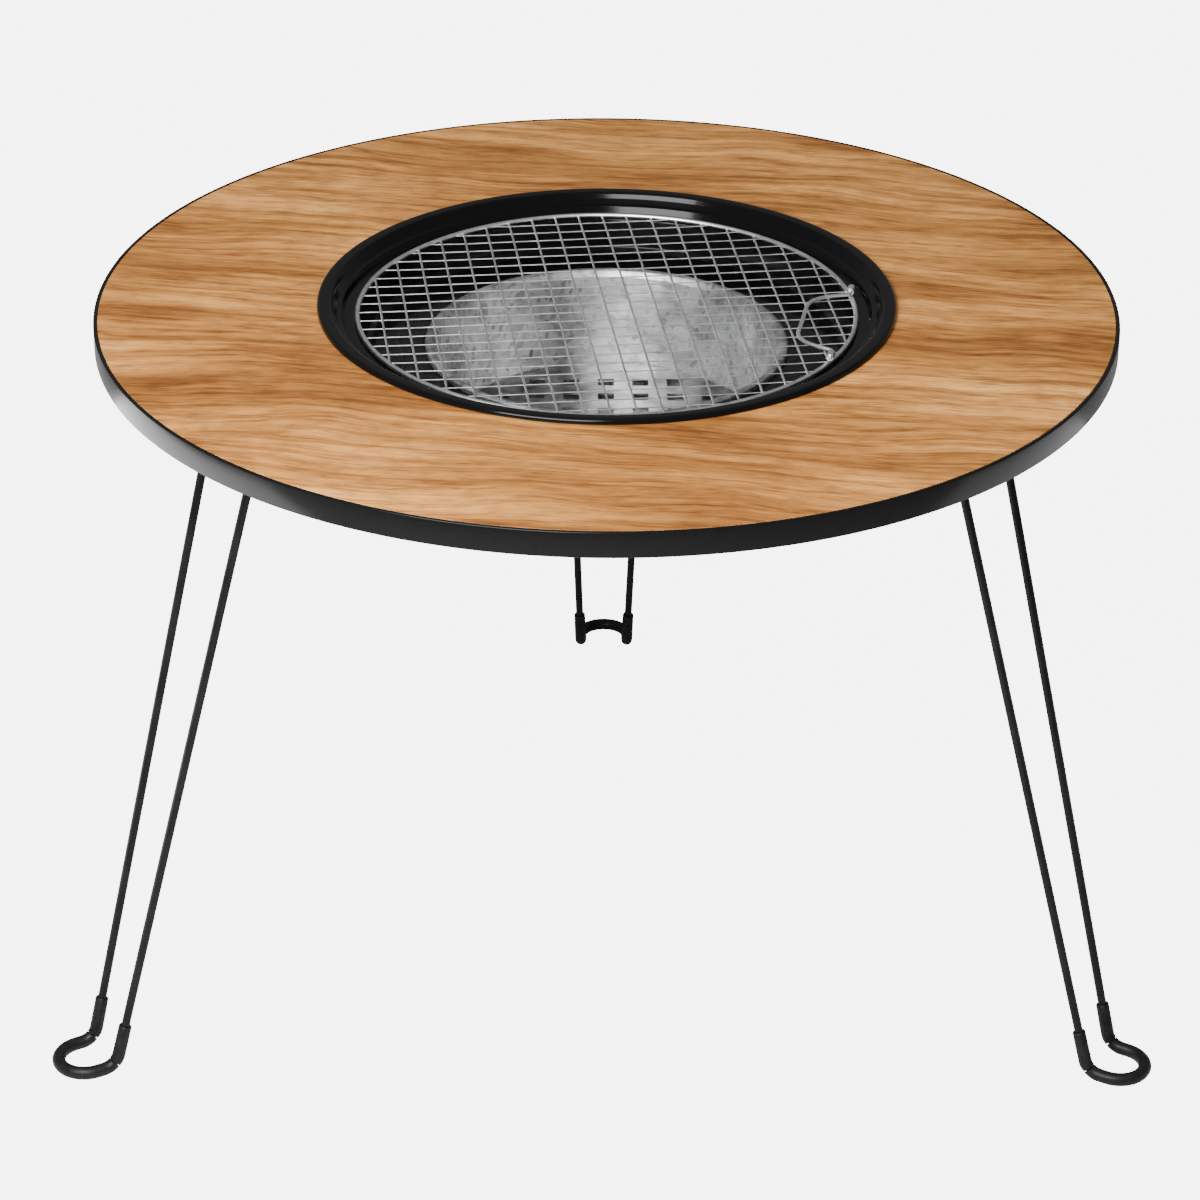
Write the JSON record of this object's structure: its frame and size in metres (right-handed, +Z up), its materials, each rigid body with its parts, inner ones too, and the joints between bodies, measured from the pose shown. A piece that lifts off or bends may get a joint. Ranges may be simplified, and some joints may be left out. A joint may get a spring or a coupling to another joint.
{
  "type": "charcoal grill table",
  "caption": "Round low table with a drop-in charcoal fire basin, lift-out pot and wire cooking net, on three folding hairpin legs.",
  "frame": {"origin": "on the floor, under the middle of the part's overall size in plan; the table top's own axis is 50.6 mm towards -Y of it, because the rear foot reaches further back than the top reaches forward", "axes": "+Z up, +Y towards the rear leg, +X to the right when facing the side with two legs"},
  "size_m": [0.875, 0.9012, 0.5646],
  "materials": {
    "wood_laminate": "satin wood-grain decor laminate",
    "mdf_board": "raw fibreboard",
    "black_edge_plastic": "gloss",
    "black_coated_steel": "satin powder coat",
    "black_rubber": "matt",
    "black_enamel": "gloss enamel",
    "galvanised_steel": "bright pressed steel",
    "grate_steel": "plain steel",
    "chromed_wire": "bright plated",
    "zinc_screw": "zinc plated"
  },
  "bodies": {
    "table": {"wood_laminate": "wood_laminate", "tabletop_board": "mdf_board", "edge_band": "black_edge_plastic", "leg_bracket_1": "black_coated_steel", "leg_bracket_2": "black_coated_steel", "leg_bracket_3": "black_coated_steel", "bracket_screw_1": "zinc_screw", "bracket_screw_2": "zinc_screw", "bracket_screw_3": "zinc_screw", "bracket_screw_4": "zinc_screw", "bracket_screw_5": "zinc_screw", "bracket_screw_6": "zinc_screw", "bracket_screw_7": "zinc_screw", "bracket_screw_8": "zinc_screw", "bracket_screw_9": "zinc_screw", "bracket_screw_10": "zinc_screw", "bracket_screw_11": "zinc_screw", "bracket_screw_12": "zinc_screw"},
    "leg_1": {"hairpin_leg_1": "black_coated_steel", "foot_sleeve_1": "black_rubber"},
    "leg_2": {"hairpin_leg_2": "black_coated_steel", "foot_sleeve_2": "black_rubber"},
    "leg_3": {"hairpin_leg_3": "black_coated_steel", "foot_sleeve_3": "black_rubber"},
    "basin": {"fire_basin": "black_enamel"},
    "pot": {"charcoal_pot": "galvanised_steel"},
    "grate": {"fire_grate": "grate_steel"},
    "net": {"net_ring": "chromed_wire", "net_wires": "chromed_wire", "handle_lug_1": "chromed_wire", "handle_lug_2": "chromed_wire"},
    "handle": {"net_handle": "chromed_wire"}
  },
  "joints": [
    {"name": "leg_1_fold", "type": "hinge", "parent": "table", "child": "leg_1", "pos_m": [0, 0.26936, 0.53068], "axis": [-1, 0, 0], "range_deg": [0, 70]},
    {"name": "leg_2_fold", "type": "hinge", "parent": "table", "child": "leg_2", "pos_m": [-0.27713, -0.21064, 0.53068], "axis": [0.5, -0.866, 0], "range_deg": [0, 67.5]},
    {"name": "leg_3_fold", "type": "hinge", "parent": "table", "child": "leg_3", "pos_m": [0.27713, -0.21064, 0.53068], "axis": [0.5, 0.866, 0], "range_deg": [0, 65]},
    {"name": "basin_lift", "type": "slide", "parent": "table", "child": "basin", "axis": [0, 0, 1], "range_m": [0, 0.15]},
    {"name": "pot_lift", "type": "slide", "parent": "basin", "child": "pot", "axis": [0, 0, 1], "range_m": [0, 0.12]},
    {"name": "grate_lift", "type": "slide", "parent": "pot", "child": "grate", "axis": [0, 0, 1], "range_m": [0, 0.08]},
    {"name": "net_lift", "type": "slide", "parent": "grate", "child": "net", "axis": [0, 0, 1], "range_m": [0, 0.1]},
    {"name": "net_handle_swing", "type": "hinge", "parent": "net", "child": "handle", "pos_m": [0.18204, -0.08274, 0.55774], "axis": [0.1736, 0.9848, 0], "range_deg": [0, 110]}
  ]
}
